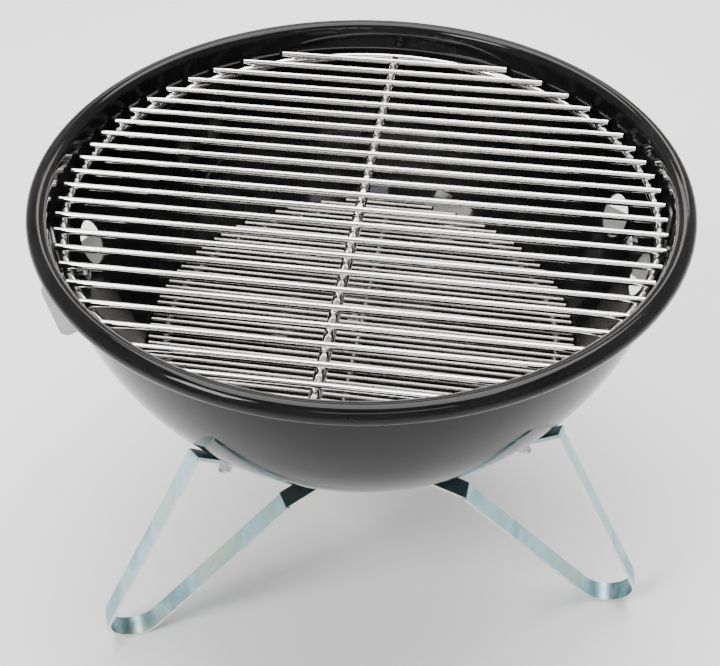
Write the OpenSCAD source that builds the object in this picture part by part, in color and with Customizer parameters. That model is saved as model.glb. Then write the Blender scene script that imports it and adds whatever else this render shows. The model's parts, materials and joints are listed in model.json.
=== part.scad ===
/* [Bowl] */
// Outer radius of the rolled rim
rim_r = 185.5; // [180:0.5:190]
// Height of the rim's centre above the floor
rim_height = 277; // [270:1:290]
// Radius of the rolled bead's section
bead_r = 5.65; // [5:0.05:6.5]
// Outer radius of the round bowl
bowl_r = 175.4; // [174.5:0.1:176]
// Thickness of the enamelled sheet steel
wall = 1.2; // [1:0.1:1.6]
// Depth of the flattened bottom below the rim's centre
bowl_depth = 160.5; // [160:0.5:164]

/* [Vents] */
// Angle of a vent's rivet below the bowl's equator
vent_drop = 19.5; // [18:0.5:21]
// Radius of a vent hole
vent_hole_r = 13.5; // [12:0.5:14]
// Distance from a vent's rivet to each of its two holes
vent_hole_offset = 28.5; // [28:0.5:30]
// Width of the damper strip
damper_w = 31; // [29:1:32]
// Distance from the rivet to the folded handle
handle_reach = 71; // [66:1:74]
// How far the folded handle stands off the bowl
handle_height = 9.9; // [7:0.1:10]
// Half-open angle of the dampers as they stand
damper_tilt = 24; // [15:1:26]

/* [Cooking grate] */
// Radius of the cooking grate at its wire ends
cook_r = 171.5; // [168:0.5:172]
// Depth of the cooking wires' centre below the rim's centre
cook_depth = 10; // [9:0.5:12]
// Diameter of a cooking wire
cook_wire_d = 3.8; // [3:0.1:4.2]
// Spacing of the cooking wires
cook_pitch = 14; // [13.5:0.05:14.4]
// Number of cooking wires
cook_count = 23; // [21:2:23]
// Diameter of the ring wire under the cooking wires
cook_ring_d = 5.5; // [5:0.5:6]
// Diameter of the cross bar under the cooking wires
cook_bar_d = 6.3; // [6:0.1:7]
// Direction of the cooking wires, turned about the bowl's axis
cook_turn = -12.9; // [-30:0.1:30]

/* [Charcoal grate] */
// Radius of the charcoal grate at its wire ends
coal_r = 132.5; // [128:0.5:132.5]
// Depth of the charcoal wires' centre below the rim's centre
coal_depth = 109; // [105:0.5:109]
// Diameter of a charcoal wire
coal_wire_d = 2.6; // [2.4:0.1:3]
// Spacing of the charcoal wires
coal_pitch = 5.37; // [5.2:0.01:5.4]
// Number of charcoal wires
coal_count = 49; // [41:2:49]
// Diameter of the charcoal grate's ring and cross bar
coal_ring_d = 4.5; // [4:0.5:5]
// Direction of the charcoal wires, turned about the bowl's axis
coal_turn = -13.7; // [-30:0.1:30]

/* [Legs] */
// Distance of each front foot to the side of the bowl's axis
front_foot_x = 155.5; // [150:0.5:165]
// Distance of each front foot forward of the bowl's axis
front_foot_y = 101.8; // [96:0.2:110]
// Angle of a front leg's plane away from straight sideways
front_leg_turn = 11; // [5:0.5:15]
// Lean of a front leg's plane back from upright
front_leg_lean = 7.8; // [4:0.2:10]
// Distance of the rear foot behind the bowl's axis
rear_foot_y = 182; // [178:1:186]
// Width of the leg strap
strap_w = 12.4; // [11:0.2:15]
// Thickness of the leg strap
strap_t = 2; // [1.8:0.1:2.4]
// Radius of the rounded foot, at the middle of the strap
foot_bend_r = 16.8; // [14:0.2:19]
// Slope of the leg's inner arm
inner_slope = 50.9; // [49:0.1:53]
// Slope of the leg's outer arm
outer_slope = 67; // [65:0.5:69]
// Distance of the bottom bolts from the bowl's axis
bottom_bolt_r = 58; // [54:1:60]

/* [Hidden] */
$fn = 96;

// Side bolts: direction about the bowl's axis, and angle around the bowl's sphere from its top
SIDE_BOLTS = [[-131, 133], [-49, 133], [90, 140]];

// Running gap between parts of different bodies
gap = 0.3;
// Gap that keeps welded wires as separate solids
weld_gap = 0.02;
// The bowl's sphere has its centre a little above the rim's centre
bowl_centre_z = rim_height + 1.8;
inner_r = bowl_r - wall;
bottom_z = rim_height - bowl_depth;
rivet_r = 3;
rivet_fit = 0.06;
damper_t = 1;
damper_inner_r = bowl_r + gap;
damper_outer_r = damper_inner_r + damper_t;
handle_angle = asin(handle_reach / damper_inner_r);
washer_t = 0.8;

bolt_r = 2.5;
bolt_fit = 0.25;
bolt_head_h = 2.4;
bolt_head_r = 4.75;
// Side bolt heads sit flat inside the round wall
side_head_z = sqrt(pow(inner_r, 2) - pow(bolt_head_r, 2)) - 0.05;
leg_washer_r = 6;
leg_washer_t = 1;
nut_h = 4;
nut_r = 4.62;

cook_z = rim_height - cook_depth;
cook_ring_r = cook_r - 3.5;
cook_ring_z = cook_z - (cook_wire_d + cook_ring_d) / 2 - weld_gap;
cook_bar_z = cook_z - (cook_wire_d + cook_bar_d) / 2 - weld_gap;
coal_z = rim_height - coal_depth;
coal_ring_r = coal_r - 10;
coal_ring_z = coal_z - (coal_wire_d + coal_ring_d) / 2 - weld_gap;

rest_w = 14;
rest_t = 1.5;
rest_h = 12;
rest_reach = 9;
rest_tilt = 8;
rest_face_r = sqrt(pow(inner_r, 2) - pow(rest_w / 2, 2) - pow(rest_h / 2, 2)) - 0.05;

// The leg's own frame: X level and inward from the foot, Y up the plane of the V, Z across the strap
function leg_x(heading) = [cos(heading), sin(heading), 0];
function leg_y(heading, lean) = [sin(lean) * sin(heading), -sin(lean) * cos(heading), cos(lean)];
function leg_z(heading, lean) = [cos(lean) * sin(heading), -cos(lean) * cos(heading), -sin(lean)];
// Centre of the rounded foot, lifted so that the strap's lowest edge meets the floor
function foot_centre(foot, lean) =
    [foot[0], foot[1], (foot_bend_r + strap_t / 2 + 0.05) * cos(lean) + strap_w / 2 * abs(sin(lean))];
// Point s along an arm's middle line (side 1 is the outer arm, -1 the inner) and v across it
function on_arm(leg, slope, side, s, v) =
    foot_centre(leg[0], leg[2])
    + (s * cos(slope) - side * foot_bend_r * sin(slope)) * leg_x(leg[1])
    + (s * sin(slope) + side * foot_bend_r * cos(slope)) * leg_y(leg[1], leg[2])
    + v * leg_z(leg[1], leg[2]);
// Point on the line through p and q whose third coordinate is level
function at_level(p, q, level) = p + (level - p[2]) / (q[2] - p[2]) * (q - p);
arm_length = 235;

// Flat side tabs touch the sphere at their bolt
side_tab_z = bowl_r + 0.05;
// A point as seen in the flat frame of a side bolt: X down the wall, Z outward
function in_side_frame(p, b) = let (
    x = p[0] * cos(b[0]) + p[1] * sin(b[0]),
    y = -p[0] * sin(b[0]) + p[1] * cos(b[0]),
    z = p[2] - bowl_centre_z)
    [x * cos(b[1]) - z * sin(b[1]), y, x * sin(b[1]) + z * cos(b[1])];
// Where the edge v of the outer arm meets the side tab, and that of the inner arm the bottom tab
function side_corner(leg, b, v) = at_level(
    in_side_frame(on_arm(leg, outer_slope, 1, 0, v), b),
    in_side_frame(on_arm(leg, outer_slope, 1, 1, v), b), side_tab_z + strap_t / 2);
function bottom_corner(leg, z, v) = at_level(
    on_arm(leg, inner_slope, -1, 0, v), on_arm(leg, inner_slope, -1, 1, v), z + strap_t / 2);

// Frame of a vent: Z outward along its rivet, X level along the wall
module at_vent(side) {
    translate([0, 0, bowl_centre_z])
        rotate([0, 0, side == "left" ? 180 : 0])
            rotate([0, 90 + vent_drop, 0])
                rotate([0, 0, 90])
                    children();
}

// Hollow ball between two radii, about the bowl's centre
module shell(r_out, r_in) {
    difference() {
        sphere(r = r_out);
        sphere(r = r_in);
    }
}

module bowl_section() {
    // Round wall with its flattened bottom
    difference() {
        intersection() {
            translate([0, bowl_centre_z]) circle(r = bowl_r, $fn = 240);
            translate([0, bottom_z]) square([bowl_r + 1, bowl_depth]);
        }
        intersection() {
            translate([0, bowl_centre_z]) circle(r = inner_r, $fn = 240);
            translate([-1, bottom_z + wall]) square([bowl_r + 2, bowl_depth + 20]);
        }
    }
    // Rolled rim, its edge curled back to just short of the wall
    translate([rim_r - bead_r, rim_height]) difference() {
        circle(r = bead_r);
        circle(r = bead_r - wall);
        polygon([[0, 0], 10 * [-1, -0.02], 10 * [cos(235), sin(235)]]);
    }
}

module at_side_bolt(b)
    translate([0, 0, bowl_centre_z]) rotate([0, b[1], b[0]]) children();

module bowl() color([0.05, 0.05, 0.055]) difference() {
    rotate_extrude($fn = 180) bowl_section();
    for (side = ["left", "right"]) at_vent(side) {
        for (s = [-1, 1]) translate([s * vent_hole_offset, 0, inner_r - 25])
            cylinder(h = 40, r = vent_hole_r);
        translate([0, 0, inner_r - 25]) cylinder(h = 40, r = rivet_r + rivet_fit);
    }
    for (s = [-1, 1]) translate([0, s * bottom_bolt_r, bottom_z - 5]) cylinder(h = 15, r = bolt_r + bolt_fit);
    for (b = SIDE_BOLTS) at_side_bolt(b) translate([0, 0, inner_r - 10]) cylinder(h = 20, r = bolt_r + bolt_fit);
}

module ring(radius, d) rotate_extrude($fn = 180) translate([radius, 0]) circle(d = d, $fn = 32);

// Parallel wires cut to a round outline
module wires(radius, d, pitch, count) {
    for (i = [0 : count - 1]) {
        y = (i - (count - 1) / 2) * pitch;
        half = sqrt(pow(radius, 2) - pow(y, 2));
        translate([-half, y, 0]) rotate([0, 90, 0]) cylinder(h = 2 * half, d = d, $fn = 32);
    }
}

module bar(length, d) translate([0, length / 2, 0]) rotate([90, 0, 0]) cylinder(h = length, d = d, $fn = 32);

module cooking_grate_ring() color([0.75, 0.75, 0.77])
    translate([0, 0, cook_ring_z]) ring(cook_ring_r, cook_ring_d);
module cooking_grate_crossbar() color([0.75, 0.75, 0.77])
    translate([0, 0, cook_bar_z]) rotate(cook_turn) bar(2 * (cook_ring_r - cook_ring_d / 2 - weld_gap), cook_bar_d);
module cooking_grate_wires() color([0.8, 0.8, 0.82])
    translate([0, 0, cook_z]) rotate(cook_turn) wires(cook_r, cook_wire_d, cook_pitch, cook_count);

module charcoal_grate_ring() color([0.45, 0.45, 0.46])
    translate([0, 0, coal_ring_z]) ring(coal_ring_r, coal_ring_d);
module charcoal_grate_crossbar() color([0.45, 0.45, 0.46])
    translate([0, 0, coal_ring_z]) rotate(coal_turn)
        bar(2 * (coal_ring_r - coal_ring_d / 2 - weld_gap), coal_ring_d);
module charcoal_grate_wires() color([0.5, 0.5, 0.5])
    translate([0, 0, coal_z]) rotate(coal_turn) wires(coal_r, coal_wire_d, coal_pitch, coal_count);

// Flat outline of the damper: a strip with a round end, running out to the handle
module damper_outline() {
    translate([-vent_hole_offset, 0]) circle(d = damper_w);
    translate([-vent_hole_offset, -damper_w / 2])
        square([vent_hole_offset + handle_reach + 8, damper_w]);
}

// Handle plate folded straight out from the end of the strip, its outer corners rounded
module handle_plate() {
    corner = 5;
    side = damper_w / 2 - 0.1;
    top = damper_inner_r + handle_height;
    base = damper_inner_r + 0.1;
    translate([-damper_t - 0.1, 0, 0]) rotate([90, 0, 90]) linear_extrude(damper_t) {
        translate([-side, base]) square([2 * side, top - corner - base]);
        translate([-side + corner, base]) square([2 * (side - corner), top - base]);
        for (s = [-1, 1]) translate([s * (side - corner), top - corner]) circle(r = corner);
    }
}

// Damper turned by an angle from closed, positive lifting the left vent's handle
module damper(side, angle) color([0.78, 0.79, 0.8]) at_vent(side) rotate(angle) difference() {
    union() {
        intersection() {
            shell(damper_outer_r, damper_inner_r);
            linear_extrude(bowl_r * 2) damper_outline();
            rotate([0, handle_angle, 0]) translate([-200, -50, 0]) cube([200, 100, 200]);
        }
        rotate([0, handle_angle, 0]) handle_plate();
    }
    translate([0, 0, inner_r - 20]) cylinder(h = 40, r = rivet_r + rivet_fit);
}
module damper_left() damper("left", damper_tilt);
module damper_right() damper("right", -damper_tilt);

// Rivet through the bowl wall and the damper, headed on both sides
module damper_rivet(side) color([0.7, 0.7, 0.72]) at_vent(side) {
    translate([0, 0, inner_r - 2]) cylinder(h = damper_outer_r + washer_t + gap + 1 - inner_r + 2, r = rivet_r);
    translate([0, 0, damper_outer_r + washer_t + gap]) rotate_extrude() intersection() {
        translate([0, -6]) circle(r = 8.4);
        square([6, 3]);
    }
    translate([0, 0, inner_r - 2]) rotate_extrude() intersection() {
        translate([0, 5.4]) circle(r = 7.4);
        translate([0, -2.5]) square([5.2, 4.5 - 0.15]);
    }
}
module damper_rivet_left() damper_rivet("left");
module damper_rivet_right() damper_rivet("right");

// Washer between the damper and the rivet's outer head
module damper_washer(side) color([0.75, 0.75, 0.76]) at_vent(side)
    translate([0, 0, damper_outer_r + gap / 2]) difference() {
        cylinder(h = washer_t, r = 7.5);
        translate([0, 0, -1]) cylinder(h = washer_t + 2, r = rivet_r + 0.05);
    }
module damper_washer_left() damper_washer("left");
module damper_washer_right() damper_washer("right");

// One arm of the leg: a flat strip leaving the rounded foot at the given slope
module arm_outline(slope, side)
    rotate(slope) translate([-1, side * foot_bend_r - strap_t / 2]) square([arm_length, strap_t]);

// Rounded foot between the two arms, a hair thicker so that both arms end inside it
module foot_outline() {
    start = inner_slope - 90;
    sweep = outer_slope + 90 - start;
    difference() {
        circle(r = foot_bend_r + strap_t / 2 + 0.05);
        circle(r = foot_bend_r - strap_t / 2 - 0.05);
        polygon([[0, 0], for (i = [0 : 3]) 60 * [cos(start + i * sweep / 3), sin(start + i * sweep / 3)]]);
    }
}

// Gives a flat outline the strap's width and sets it up in the leg's own plane
module strap(leg) translate(foot_centre(leg[0], leg[2])) rotate([0, 0, leg[1]]) rotate([90 + leg[2], 0, 0])
    translate([0, 0, -strap_w / 2]) linear_extrude(strap_w) children();

// Flat tab bolted against the bowl's side, reaching up to the outer arm
module side_tab(leg, b) {
    low = side_corner(leg, b, -strap_w / 2);
    high = side_corner(leg, b, strap_w / 2);
    at_side_bolt(b) translate([0, 0, side_tab_z]) linear_extrude(strap_t) {
        circle(d = strap_w);
        polygon([[0, -strap_w / 2], [low[0], low[1]], [low[0] - 2.5, low[1]],
            [high[0] - 2.5, high[1]], [high[0], high[1]], [0, strap_w / 2]]);
    }
}

// Flat tab under the bowl, from the top of the inner arm to the bottom bolt
module bottom_tab(leg, bolt, z) {
    near = bottom_corner(leg, z, strap_w / 2);
    far = bottom_corner(leg, z, -strap_w / 2);
    back = 1.4 * leg_x(leg[1]);
    turn = atan2(bolt[1] - (near[1] + far[1]) / 2, bolt[0] - (near[0] + far[0]) / 2);
    across = strap_w / 2 * [-sin(turn), cos(turn)];
    translate([0, 0, z]) linear_extrude(strap_t) {
        polygon([[near[0] - back[0], near[1] - back[1]], bolt - across, bolt + across,
            [far[0] - back[0], far[1] - back[1]]]);
        translate(bolt) circle(d = strap_w);
    }
}

// A leg: one strap bent into a V with a rounded foot and a bolted tab at each end.
// leg is its foot, its heading and its lean
module leg(leg, b, bolt, tab_z) color([0.62, 0.72, 0.75]) difference() {
    union() {
        strap(leg) foot_outline();
        difference() {
            strap(leg) arm_outline(outer_slope, 1);
            at_side_bolt(b) translate([-150, -100, 0]) cube([300, 200, side_tab_z + strap_t / 2]);
        }
        difference() {
            strap(leg) arm_outline(inner_slope, -1);
            translate([-200, -200, tab_z + strap_t / 2]) cube([400, 400, 150]);
        }
        side_tab(leg, b);
        bottom_tab(leg, bolt, tab_z);
    }
    at_side_bolt(b) translate([0, 0, side_tab_z - 5]) cylinder(h = 15, r = bolt_r + bolt_fit);
    translate([bolt[0], bolt[1], tab_z - 5]) cylinder(h = 15, r = bolt_r + bolt_fit);
}
module leg_front_left()
    leg([[-front_foot_x, -front_foot_y], front_leg_turn, front_leg_lean], SIDE_BOLTS[0],
        [0, -bottom_bolt_r], bottom_z - strap_t);
module leg_front_right()
    leg([[front_foot_x, -front_foot_y], 180 - front_leg_turn, -front_leg_lean], SIDE_BOLTS[1],
        [0, -bottom_bolt_r], bottom_z - 2 * strap_t);
module leg_rear() leg([[0, rear_foot_y], -90, 0], SIDE_BOLTS[2], [0, bottom_bolt_r], bottom_z - strap_t);

// Bolt with its head at z = 0 upward and its shank hanging down through the stack below
module bolt(stack) {
    translate([0, 0, -stack - leg_washer_t - nut_h - 2])
        cylinder(h = stack + leg_washer_t + nut_h + 3, r = bolt_r);
    cylinder(h = bolt_head_h, r = bolt_head_r);
}
module bottom_bolt(s, tabs) color([0.7, 0.7, 0.68])
    translate([0, s * bottom_bolt_r, bottom_z + wall]) bolt(wall + tabs * strap_t);
module side_bolt(b) color([0.7, 0.7, 0.68])
    at_side_bolt(b) translate([0, 0, side_head_z]) rotate([180, 0, 0]) bolt(side_tab_z + strap_t - side_head_z);
module leg_bolt_bottom_front() bottom_bolt(-1, 2);
module leg_bolt_bottom_rear() bottom_bolt(1, 1);
module leg_bolt_side_left() side_bolt(SIDE_BOLTS[0]);
module leg_bolt_side_right() side_bolt(SIDE_BOLTS[1]);
module leg_bolt_side_rear() side_bolt(SIDE_BOLTS[2]);

// Places a washer or nut, drawn hanging down from z = 0, at every leg bolt
module at_leg_bolts() {
    translate([0, -bottom_bolt_r, bottom_z - 2 * strap_t]) children();
    translate([0, bottom_bolt_r, bottom_z - strap_t]) children();
    for (b = SIDE_BOLTS) at_side_bolt(b) translate([0, 0, side_tab_z + strap_t]) rotate([180, 0, 0]) children();
}
module leg_washers() color([0.75, 0.75, 0.72]) at_leg_bolts()
    translate([0, 0, -leg_washer_t]) difference() {
        cylinder(h = leg_washer_t, r = leg_washer_r);
        translate([0, 0, -1]) cylinder(h = 4, r = bolt_r + 0.1);
    }
module leg_nuts() color([0.72, 0.72, 0.7]) at_leg_bolts()
    translate([0, 0, -leg_washer_t - nut_h]) difference() {
        cylinder(h = nut_h, r = nut_r, $fn = 6);
        translate([0, 0, -1]) cylinder(h = nut_h + 2, r = bolt_r + 0.05);
    }

// Angle bracket on the wall that the cooking grate's ring stands on
module grate_rest(a) color([0.08, 0.08, 0.08]) rotate(a) {
    translate([0, 0, bowl_centre_z]) rotate([0, rest_tilt, 0])
        translate([rest_face_r - rest_t, -rest_w / 2, -rest_h / 2]) cube([rest_t, rest_w, rest_h]);
    translate([inner_r - 2 - rest_reach, -rest_w / 2, cook_ring_z - cook_ring_d / 2 - gap - rest_t])
        cube([rest_reach, rest_w, rest_t]);
}
module grate_rest_front_left() grate_rest(-135);
module grate_rest_front_right() grate_rest(-45);
module grate_rest_rear_left() grate_rest(135);
module grate_rest_rear_right() grate_rest(45);

bowl();
grate_rest_front_left();
grate_rest_front_right();
grate_rest_rear_left();
grate_rest_rear_right();
cooking_grate_ring();
cooking_grate_crossbar();
cooking_grate_wires();
charcoal_grate_ring();
charcoal_grate_crossbar();
charcoal_grate_wires();
damper_left();
damper_right();
damper_rivet_left();
damper_rivet_right();
damper_washer_left();
damper_washer_right();
leg_front_left();
leg_front_right();
leg_rear();
leg_bolt_bottom_front();
leg_bolt_bottom_rear();
leg_bolt_side_left();
leg_bolt_side_right();
leg_bolt_side_rear();
leg_washers();
leg_nuts();
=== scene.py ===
import json
import math
import random

import bmesh
import bpy
from mathutils import Matrix, Vector


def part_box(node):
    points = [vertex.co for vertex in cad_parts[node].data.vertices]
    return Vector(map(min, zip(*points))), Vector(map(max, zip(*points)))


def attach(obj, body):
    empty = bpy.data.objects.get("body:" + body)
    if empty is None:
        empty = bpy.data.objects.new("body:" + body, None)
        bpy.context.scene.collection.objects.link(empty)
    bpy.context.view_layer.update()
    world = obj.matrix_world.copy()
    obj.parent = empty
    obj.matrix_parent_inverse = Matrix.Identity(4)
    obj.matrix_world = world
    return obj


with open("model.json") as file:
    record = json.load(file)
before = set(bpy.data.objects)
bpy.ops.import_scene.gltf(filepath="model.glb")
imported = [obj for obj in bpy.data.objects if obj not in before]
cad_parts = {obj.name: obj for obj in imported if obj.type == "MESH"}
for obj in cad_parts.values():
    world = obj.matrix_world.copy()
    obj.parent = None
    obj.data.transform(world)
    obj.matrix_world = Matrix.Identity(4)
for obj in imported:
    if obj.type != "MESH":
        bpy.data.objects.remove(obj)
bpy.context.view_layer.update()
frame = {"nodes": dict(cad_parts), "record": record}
nodes = frame["nodes"]

RIM_Z = 0.277  # height of the rim's centre


# ---------------------------------------------------------------- node tools
class Mat:
    """A node material with short helpers. Object coordinates are metres in the row frame."""

    def __init__(self, name):
        self.m = bpy.data.materials.new(name)
        self.m.use_nodes = True
        self.t = self.m.node_tree
        self.bsdf = self.t.nodes["Principled BSDF"]
        self.coord = self.t.nodes.new("ShaderNodeTexCoord")

    def put(self, **k):
        for name, v in k.items():
            self.bsdf.inputs[name.replace("_", " ")].default_value = v
        return self

    def node(self, kind, **k):
        n = self.t.nodes.new(kind)
        for a, v in k.items():
            setattr(n, a, v)
        return n

    def link(self, a, b):
        self.t.links.new(a, b)

    def noise(self, scale, detail=4.0, rough=0.5, stretch=(1, 1, 1), distortion=0.0, src=None):
        mp = self.node("ShaderNodeMapping")
        mp.inputs["Scale"].default_value = stretch
        self.link(src or self.coord.outputs["Object"], mp.inputs["Vector"])
        n = self.node("ShaderNodeTexNoise")
        n.inputs["Scale"].default_value = scale
        n.inputs["Detail"].default_value = detail
        n.inputs["Roughness"].default_value = rough
        n.inputs["Distortion"].default_value = distortion
        self.link(mp.outputs[0], n.inputs["Vector"])
        return n.outputs["Fac"]

    def ramp(self, fac, stops):
        r = self.node("ShaderNodeValToRGB")
        e = r.color_ramp.elements
        while len(e) < len(stops):
            e.new(0.5)
        for el, (p, c) in zip(e, stops):
            el.position = p
            el.color = (*c, 1) if len(c) == 3 else c
        self.link(fac, r.inputs[0])
        return r.outputs[0]

    def span(self, fac, lo, hi, a=0.0, b=1.0):
        r = self.node("ShaderNodeMapRange")
        r.inputs[1].default_value, r.inputs[2].default_value = lo, hi
        r.inputs[3].default_value, r.inputs[4].default_value = a, b
        self.link(fac, r.inputs[0])
        return r.outputs[0]

    def mix(self, fac, a, b, mode="MIX"):
        n = self.node("ShaderNodeMix", data_type="RGBA", blend_type=mode)
        for sock, v in ((n.inputs[0], fac), (n.inputs[6], a), (n.inputs[7], b)):
            if hasattr(v, "is_output"):
                self.link(v, sock)
            elif isinstance(v, (int, float)):
                sock.default_value = v
            else:
                sock.default_value = (*v, 1)
        return n.outputs[2]

    def math(self, op, a, b=0.0):
        n = self.node("ShaderNodeMath", operation=op)
        for sock, v in ((n.inputs[0], a), (n.inputs[1], b)):
            if hasattr(v, "is_output"):
                self.link(v, sock)
            else:
                sock.default_value = v
        return n.outputs[0]

    def bump(self, height, strength, distance):
        b = self.node("ShaderNodeBump")
        b.inputs["Strength"].default_value = strength
        b.inputs["Distance"].default_value = distance
        self.link(height, b.inputs["Height"])
        self.link(b.outputs[0], self.bsdf.inputs["Normal"])
        return b


def enamel():
    m = Mat("black_enamel").put(Metallic=0.0, IOR=1.27)
    cloud = m.noise(18, 5, 0.6)
    base = m.ramp(cloud, [(0.3, (0.003, 0.003, 0.0035)), (0.55, (0.006, 0.006, 0.0065)),
                          (0.75, (0.011, 0.010, 0.010))])
    speck = m.span(m.noise(900, 2, 0.5), 0.70, 0.78)
    m.link(m.mix(speck, base, (0.03, 0.03, 0.032)), m.bsdf.inputs["Base Color"])
    smear = m.noise(22, 4, 0.6, stretch=(1, 1, 3))
    m.link(m.span(smear, 0.35, 0.7, 0.035, 0.12), m.bsdf.inputs["Roughness"])
    m.bump(m.noise(120, 2, 0.4), 0.06, 0.0006)
    return m.m


def plated(name, tint_a, tint_b, rough, burn):
    m = Mat(name).put(Metallic=1.0)
    fine = m.noise(260, 3, 0.6)
    cloud = m.noise(9, 4, 0.55)
    base = m.mix(m.span(cloud, 0.35, 0.65), tint_a, tint_b)
    scorch = m.span(m.noise(30, 3), 0.55, 0.75, 0, burn)
    m.link(m.mix(scorch, base, (0.34, 0.29, 0.24)), m.bsdf.inputs["Base Color"])
    m.link(m.span(fine, 0.3, 0.7, rough[0], rough[1]), m.bsdf.inputs["Roughness"])
    m.bump(fine, 0.05, 0.0002)
    return m.m


def zinc(name, across):
    """Blue-bright zinc on a strap, with a painted highlight on the faces of its sheared edges, which face along
    across, in the row frame.
    """
    m = Mat(name).put(Metallic=1.0)
    sheen = m.noise(20, 3, 0.5, distortion=0.8)
    col = m.ramp(sheen, [(0.30, (0.16, 0.30, 0.33)), (0.42, (0.22, 0.40, 0.45)), (0.50, (0.33, 0.55, 0.63)),
                         (0.58, (0.29, 0.46, 0.46)), (0.66, (0.44, 0.53, 0.43)), (0.75, (0.25, 0.45, 0.53))])
    grain = m.noise(420, 3, 0.6, stretch=(1, 1, 0.3))
    col = m.mix(m.span(grain, 0.40, 0.72, 0, 0.22), col, (0.62, 0.72, 0.76))
    col = m.mix(m.span(m.noise(70, 3, 0.6), 0.60, 0.72, 0, 0.3), col, (0.22, 0.36, 0.40))
    dot = m.node("ShaderNodeVectorMath", operation="DOT_PRODUCT")
    m.link(m.coord.outputs["Normal"], dot.inputs[0])
    dot.inputs[1].default_value = across
    # painted highlight: faces turned along across get a streaky near-white colour that stands in for the glint of
    # light on the strap edges
    edge_highlight_mask = m.span(m.math("ABSOLUTE", dot.outputs["Value"]), 0.75, 0.9)
    highlight_streak = m.noise(600, 3, 0.6, stretch=(0.3, 0.3, 1))
    painted_edge_highlight = m.mix(m.span(highlight_streak, 0.35, 0.65), (0.74, 0.76, 0.66), (0.92, 0.92, 0.82))
    m.link(m.mix(edge_highlight_mask, col, painted_edge_highlight), m.bsdf.inputs["Base Color"])
    m.link(m.span(grain, 0.3, 0.7, 0.32, 0.48), m.bsdf.inputs["Roughness"])
    m.bump(grain, 0.08, 0.0003)
    return m.m


def sheet_aluminium():
    m = Mat("mill_aluminium").put(Metallic=0.8)
    grain = m.noise(220, 4, 0.6, stretch=(6, 1, 1))
    cloud = m.noise(40, 4)
    tone = m.mix(m.span(cloud, 0.35, 0.65), (0.76, 0.78, 0.76), (0.84, 0.86, 0.84))
    m.link(tone, m.bsdf.inputs["Base Color"])
    m.link(m.span(grain, 0.3, 0.7, 0.42, 0.55), m.bsdf.inputs["Roughness"])
    m.bump(grain, 0.12, 0.0002)
    return m.m


def fastener():
    m = Mat("zinc_fastener").put(Metallic=1.0)
    cloud = m.noise(120, 4)
    tone = m.mix(m.span(cloud, 0.35, 0.65), (0.62, 0.62, 0.57), (0.76, 0.77, 0.74))
    m.link(tone, m.bsdf.inputs["Base Color"])
    m.link(m.span(m.noise(600, 2), 0.3, 0.7, 0.22, 0.36), m.bsdf.inputs["Roughness"])
    m.bump(cloud, 0.1, 0.0003)
    return m.m


MATS = {
    "enamel": enamel(),
    "plated_wire": plated("bright_nickel_wire", (0.72, 0.71, 0.69), (0.84, 0.83, 0.81), (0.06, 0.13), 0.25),
    "bare_wire": plated("drawn_steel_wire", (0.42, 0.40, 0.38), (0.56, 0.54, 0.52), (0.24, 0.36), 0.4),
    "damper_sheet": sheet_aluminium(),
    "rivet_metal": plated("bright_rivet", (0.80, 0.80, 0.81), (0.88, 0.88, 0.88), (0.12, 0.2), 0.1),
    "fastener": fastener(),
}
# Direction that each leg's sheared edges face, in the row frame; the zinc material paints a highlight on those
# faces
LEG_ACROSS = {"leg_front_left": (0.189, -0.973, -0.136), "leg_front_right": (-0.189, -0.973, -0.136),
              "leg_rear": (1.0, 0.0, 0.0)}
LEG_MATS = {n: zinc("zinc_" + n, d) for n, d in LEG_ACROSS.items()}
SLOT_OF = {s["node"]: s["material_slot"] for s in frame["record"]["subparts"]}
for name, o in nodes.items():
    for i in range(max(1, len(o.material_slots))):
        if len(o.material_slots) <= i:
            o.data.materials.append(None)
        o.material_slots[i].material = LEG_MATS.get(name) or MATS[SLOT_OF[name]]


# ---------------------------------------------------------------- weld beads on the two grates
def welds(name, body, slot_name, spots, size, turn, seed):
    """Small fused beads where a wire crosses a ring or a bar; spots are (x, y, z) in the turned frame, metres."""
    rng = random.Random(seed)
    bm = bmesh.new()
    rot = Matrix.Rotation(math.radians(turn), 4, "Z")
    for x, y, z in spots:
        part = bmesh.ops.create_icosphere(bm, subdivisions=2, radius=1.0)["verts"]
        k = [size[i] * rng.uniform(0.85, 1.15) for i in range(3)]
        phase = rng.uniform(0, 6.28)
        for v in part:
            w = 1 + 0.08 * math.sin(3 * math.atan2(v.co.y, v.co.x) + phase)
            p = Vector((x + v.co.x * k[0] * w, y + v.co.y * k[1] * w, z + v.co.z * k[2]))
            v.co = rot @ p
    me = bpy.data.meshes.new(name)
    bm.to_mesh(me)
    bm.free()
    for p in me.polygons:
        p.use_smooth = True
    me.materials.append(MATS[slot_name])
    o = bpy.data.objects.new(name, me)
    bpy.context.collection.objects.link(o)
    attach(o, body)
    return o


def mid_z(node):
    a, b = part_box(node)
    return (a[2] + b[2]) / 2


def grate_welds(prefix, ring_r, wire_d, ring_d, bar_d, pitch, count, turn, seed):
    slot_name = SLOT_OF[prefix + "_wires"]
    wz = mid_z(prefix + "_wires")
    ys = [(i - (count - 1) / 2) * pitch for i in range(count)]
    ring = [(s * math.sqrt(ring_r ** 2 - y * y), y, wz - wire_d / 2)
            for y in ys if abs(y) < ring_r - 0.002 for s in (-1, 1)]
    bar = [(0.0, y, wz - wire_d / 2) for y in ys if abs(y) < ring_r - 0.004]
    across, up = wire_d * 0.62, wire_d * 0.34
    welds(prefix + "_ring_welds", prefix, slot_name, ring, (ring_d * 0.42, across, up), turn, seed)
    welds(prefix + "_bar_welds", prefix, slot_name, bar, (bar_d * 0.40, across, up), turn, seed + 1)


# Ring radius, wire, ring and bar diameters, and wire spacing in metres; wire count; turn in degrees
grate_welds("cooking_grate", 0.168, 0.0038, 0.0055, 0.0063, 0.014, 23, -12.9, 3)
grate_welds("charcoal_grate", 0.1225, 0.0026, 0.0045, 0.0045, 0.00537, 49, -13.7, 5)


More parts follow.
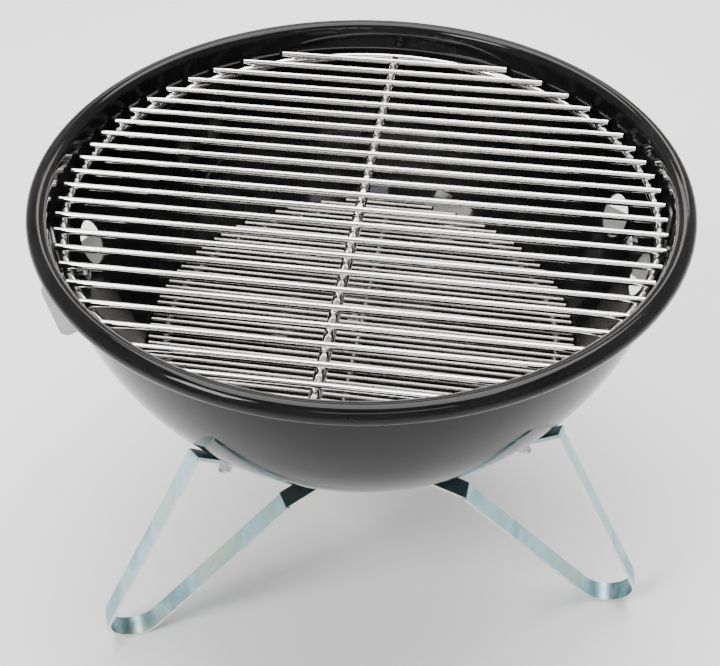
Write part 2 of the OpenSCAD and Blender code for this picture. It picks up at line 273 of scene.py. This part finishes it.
# ---------------------------------------------------------------- stage and camera
FLOOR_R = 2.6  # radius of the flat floor
COVE_R = 1.2  # radius of the curve between the floor and the wall
WALL_TOP = 4.5
COVE_STEPS = 16


def stage():
    """A round floor that curves up into a wall."""
    bm = bmesh.new()
    n = 64
    prof = [(FLOOR_R, 0.0)]
    for i in range(COVE_STEPS + 1):
        a = math.radians(90 * i / COVE_STEPS)
        prof.append((FLOOR_R + COVE_R * math.sin(a), COVE_R - COVE_R * math.cos(a)))
    prof.append((FLOOR_R + COVE_R, WALL_TOP))
    c = bm.verts.new((0, 0, 0))
    turns = [2 * math.pi * k / n for k in range(n)]
    rings = [[bm.verts.new((r * math.cos(t), r * math.sin(t), z)) for t in turns] for r, z in prof]
    for k in range(n):
        bm.faces.new((c, rings[0][k], rings[0][(k + 1) % n]))
        for a, b in zip(rings, rings[1:]):
            bm.faces.new((a[k], b[k], b[(k + 1) % n], a[(k + 1) % n]))
    me = bpy.data.meshes.new("studio_floor")
    bm.to_mesh(me)
    o = bpy.data.objects.new("studio_floor", me)
    bpy.context.collection.objects.link(o)
    for p in me.polygons:
        p.use_smooth = True
    m = Mat("floor_paint").put(Roughness=0.9)
    tone = m.mix(m.span(m.noise(3, 2), 0.3, 0.7), (0.86, 0.86, 0.865), (0.87, 0.87, 0.872))
    m.link(tone, m.bsdf.inputs["Base Color"])
    me.materials.append(m.m)


stage()

cam_data = bpy.data.cameras.new("camera")
cam = bpy.data.objects.new("camera", cam_data)
bpy.context.collection.objects.link(cam)
bpy.context.scene.camera = cam
cam_data.sensor_width = 36.0
cam_data.lens = 56.11
cam.matrix_world = Matrix((
    (0.99650, 0.05625, -0.06176, -0.04478),
    (-0.08354, 0.67621, -0.73196, -0.52231),
    (0.00059, 0.73456, 0.67855, 0.36723 + RIM_Z),
    (0, 0, 0, 1)))


def area(name, loc, target, size, power, color=(1, 1, 1)):
    l = bpy.data.lights.new(name, "AREA")
    l.shape = "RECTANGLE"
    l.size, l.size_y = size
    l.energy = power
    l.color = color
    o = bpy.data.objects.new(name, l)
    bpy.context.collection.objects.link(o)
    o.location = loc
    o.rotation_mode = "QUATERNION"
    o.rotation_quaternion = (Vector(target) - Vector(loc)).to_track_quat("-Z", "Y")
    return o


area("top", (0.1, 0.45, 1.9), (0, 0.05, 0), (1.7, 1.5), 84, (1.0, 1.0, 1.0))
area("key", (-1.15, -0.75, 1.5), (0, 0, 0.1), (0.6, 0.6), 32, (1.0, 0.99, 0.97))
area("back_strip", (0.25, 1.35, 1.15), (0, 0, 0.25), (1.3, 0.22), 7, (1.0, 0.93, 0.82))
area("front_strip", (0.05, -1.2, 1.35), (0, 0, 0.2), (1.0, 0.14), 4, (0.93, 0.90, 1.0))
world = bpy.data.worlds.new("studio")
bpy.context.scene.world = world
world.use_nodes = True
wt = world.node_tree
bg = wt.nodes["Background"]
geo = wt.nodes.new("ShaderNodeTexCoord")
sep = wt.nodes.new("ShaderNodeSeparateXYZ")
fade = wt.nodes.new("ShaderNodeValToRGB")
# Brightness of the surroundings at the horizon and overhead
SKY = [(0.0, 0.72), (1.0, 0.10)]
for el, (p, c) in zip(fade.color_ramp.elements, SKY):
    el.position = p
    el.color = (c * 0.97, c * 0.985, c, 1)
wt.links.new(geo.outputs["Generated"], sep.inputs[0])
wt.links.new(sep.outputs[2], fade.inputs[0])
wt.links.new(fade.outputs[0], bg.inputs[0])
bg.inputs[1].default_value = 1.0
